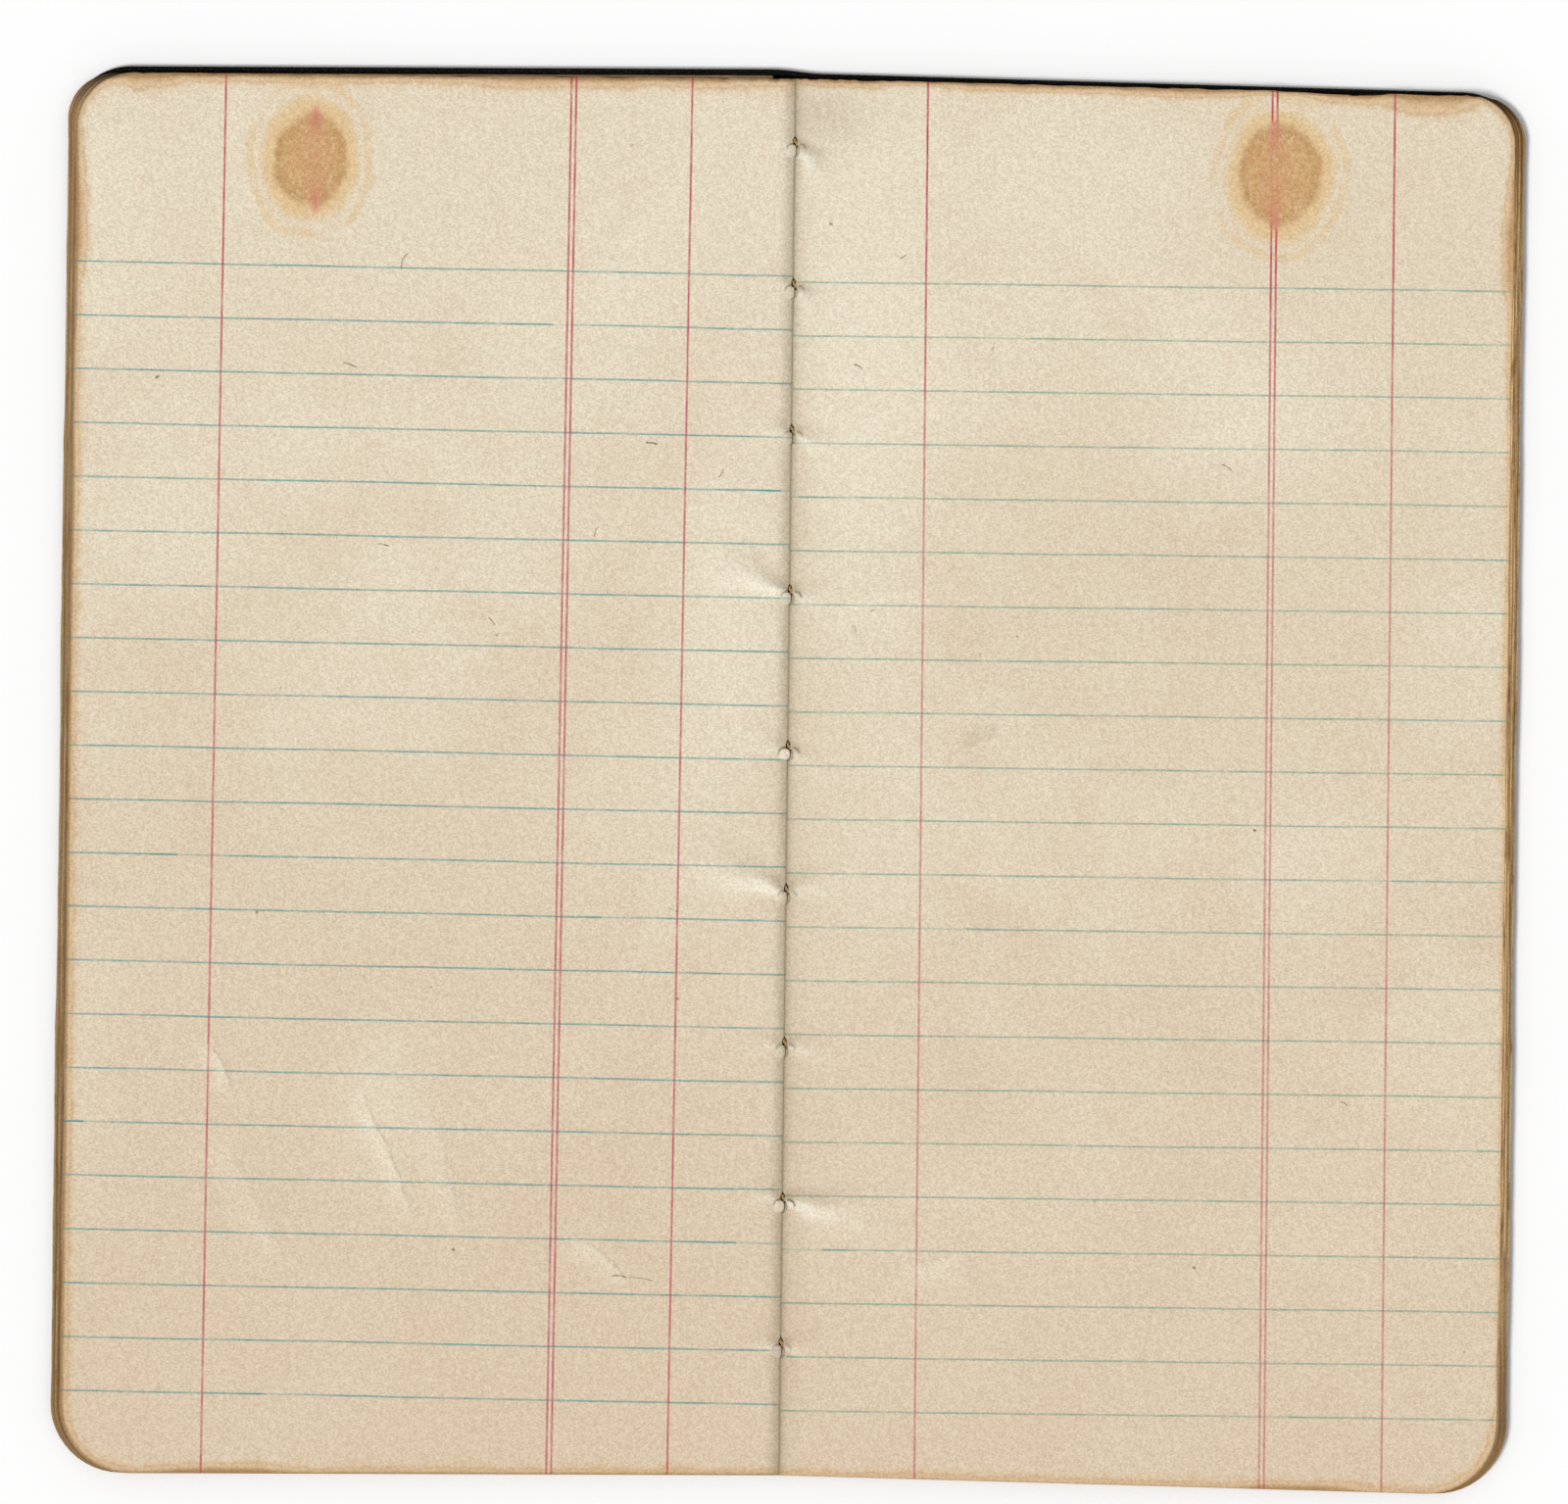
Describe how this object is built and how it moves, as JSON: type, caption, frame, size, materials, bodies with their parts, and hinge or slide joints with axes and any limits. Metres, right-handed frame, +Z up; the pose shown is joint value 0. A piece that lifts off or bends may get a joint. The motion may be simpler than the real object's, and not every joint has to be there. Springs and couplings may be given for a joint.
{
  "type": "ledger book",
  "caption": "Round-cornered pocket ledger lying open: ruled leaves sewn through the fold into a limp grained cover, each leaf and the front cover hinged at the fold.",
  "frame": {"origin": "centre of the open book's footprint on the table, below the fold", "axes": "+X from the fold to the right-hand fore-edge, +Y to the head of the pages, +Z up from the table"},
  "size_m": [0.1728, 0.1667, 0.0026],
  "materials": {
    "paper": "matt ruled ledger paper, toned with age",
    "lining": "matt plain lining paper",
    "board": "thin brown pressboard",
    "cover_cloth": "black grained leatherette, semi-matt, worn at the edges",
    "linen": "unbleached linen strip",
    "thread": "tan twisted thread"
  },
  "bodies": {
    "back_cover": {"back_cover_cloth": "cover_cloth", "back_board": "board", "back_pastedown": "lining"},
    "spine": {"spine_cover_cloth": "cover_cloth", "sewing_guard": "linen", "sewing_thread": "thread"},
    "front_cover": {"front_cover_cloth": "cover_cloth", "front_board": "board", "front_pastedown": "lining"},
    "leaf_left_08": {"leaf_left_08": "paper"},
    "leaf_left_07": {"leaf_left_07": "paper"},
    "leaf_left_06": {"leaf_left_06": "paper"},
    "leaf_left_05": {"leaf_left_05": "paper"},
    "leaf_left_04": {"leaf_left_04": "paper"},
    "leaf_left_03": {"leaf_left_03": "paper"},
    "leaf_left_02": {"leaf_left_02": "paper"},
    "leaf_left_01": {"leaf_left_01": "paper"},
    "leaf_right_08": {"leaf_right_08": "paper"},
    "leaf_right_07": {"leaf_right_07": "paper"},
    "leaf_right_06": {"leaf_right_06": "paper"},
    "leaf_right_05": {"leaf_right_05": "paper"},
    "leaf_right_04": {"leaf_right_04": "paper"},
    "leaf_right_03": {"leaf_right_03": "paper"},
    "leaf_right_02": {"leaf_right_02": "paper"},
    "leaf_right_01": {"leaf_right_01": "paper"}
  },
  "joints": [
    {"name": "front_cover_fold", "type": "hinge", "parent": "back_cover", "child": "front_cover", "pos_m": [0, 0, 0.00265], "axis": [0, 1, 0], "range_deg": [0, 179.5]},
    {"name": "spine_fold", "type": "hinge", "parent": "back_cover", "child": "spine", "pos_m": [0, 0, 0.00265], "axis": [0, 1, 0], "range_deg": [0, 89.75]},
    {"name": "leaf_left_08_turn", "type": "hinge", "parent": "front_cover", "child": "leaf_left_08", "pos_m": [0, 0, 0.00265], "axis": [0, -1, 0], "range_deg": [-180, 0]},
    {"name": "leaf_left_07_turn", "type": "hinge", "parent": "leaf_left_08", "child": "leaf_left_07", "pos_m": [0, 0, 0.00265], "axis": [0, -1, 0], "range_deg": [-180, 0]},
    {"name": "leaf_left_06_turn", "type": "hinge", "parent": "leaf_left_07", "child": "leaf_left_06", "pos_m": [0, 0, 0.00265], "axis": [0, -1, 0], "range_deg": [-180, 0]},
    {"name": "leaf_left_05_turn", "type": "hinge", "parent": "leaf_left_06", "child": "leaf_left_05", "pos_m": [0, 0, 0.00265], "axis": [0, -1, 0], "range_deg": [-180, 0]},
    {"name": "leaf_left_04_turn", "type": "hinge", "parent": "leaf_left_05", "child": "leaf_left_04", "pos_m": [0, 0, 0.00265], "axis": [0, -1, 0], "range_deg": [-180, 0]},
    {"name": "leaf_left_03_turn", "type": "hinge", "parent": "leaf_left_04", "child": "leaf_left_03", "pos_m": [0, 0, 0.00265], "axis": [0, -1, 0], "range_deg": [-180, 0]},
    {"name": "leaf_left_02_turn", "type": "hinge", "parent": "leaf_left_03", "child": "leaf_left_02", "pos_m": [0, 0, 0.00265], "axis": [0, -1, 0], "range_deg": [-180, 0]},
    {"name": "leaf_left_01_turn", "type": "hinge", "parent": "leaf_left_02", "child": "leaf_left_01", "pos_m": [0, 0, 0.00265], "axis": [0, -1, 0], "range_deg": [-180, 0]},
    {"name": "leaf_right_08_turn", "type": "hinge", "parent": "back_cover", "child": "leaf_right_08", "pos_m": [0, 0, 0.00265], "axis": [0, 1, 0], "range_deg": [-180, 0]},
    {"name": "leaf_right_07_turn", "type": "hinge", "parent": "leaf_right_08", "child": "leaf_right_07", "pos_m": [0, 0, 0.00265], "axis": [0, 1, 0], "range_deg": [-180, 0]},
    {"name": "leaf_right_06_turn", "type": "hinge", "parent": "leaf_right_07", "child": "leaf_right_06", "pos_m": [0, 0, 0.00265], "axis": [0, 1, 0], "range_deg": [-180, 0]},
    {"name": "leaf_right_05_turn", "type": "hinge", "parent": "leaf_right_06", "child": "leaf_right_05", "pos_m": [0, 0, 0.00265], "axis": [0, 1, 0], "range_deg": [-180, 0]},
    {"name": "leaf_right_04_turn", "type": "hinge", "parent": "leaf_right_05", "child": "leaf_right_04", "pos_m": [0, 0, 0.00265], "axis": [0, 1, 0], "range_deg": [-180, 0]},
    {"name": "leaf_right_03_turn", "type": "hinge", "parent": "leaf_right_04", "child": "leaf_right_03", "pos_m": [0, 0, 0.00265], "axis": [0, 1, 0], "range_deg": [-180, 0]},
    {"name": "leaf_right_02_turn", "type": "hinge", "parent": "leaf_right_03", "child": "leaf_right_02", "pos_m": [0, 0, 0.00265], "axis": [0, 1, 0], "range_deg": [-180, 0]},
    {"name": "leaf_right_01_turn", "type": "hinge", "parent": "leaf_right_02", "child": "leaf_right_01", "pos_m": [0, 0, 0.00265], "axis": [0, 1, 0], "range_deg": [-180, 0]}
  ],
  "couplings": [
    {"joint": "spine_fold", "follows": "front_cover_fold", "ratio": 0.5}
  ]
}
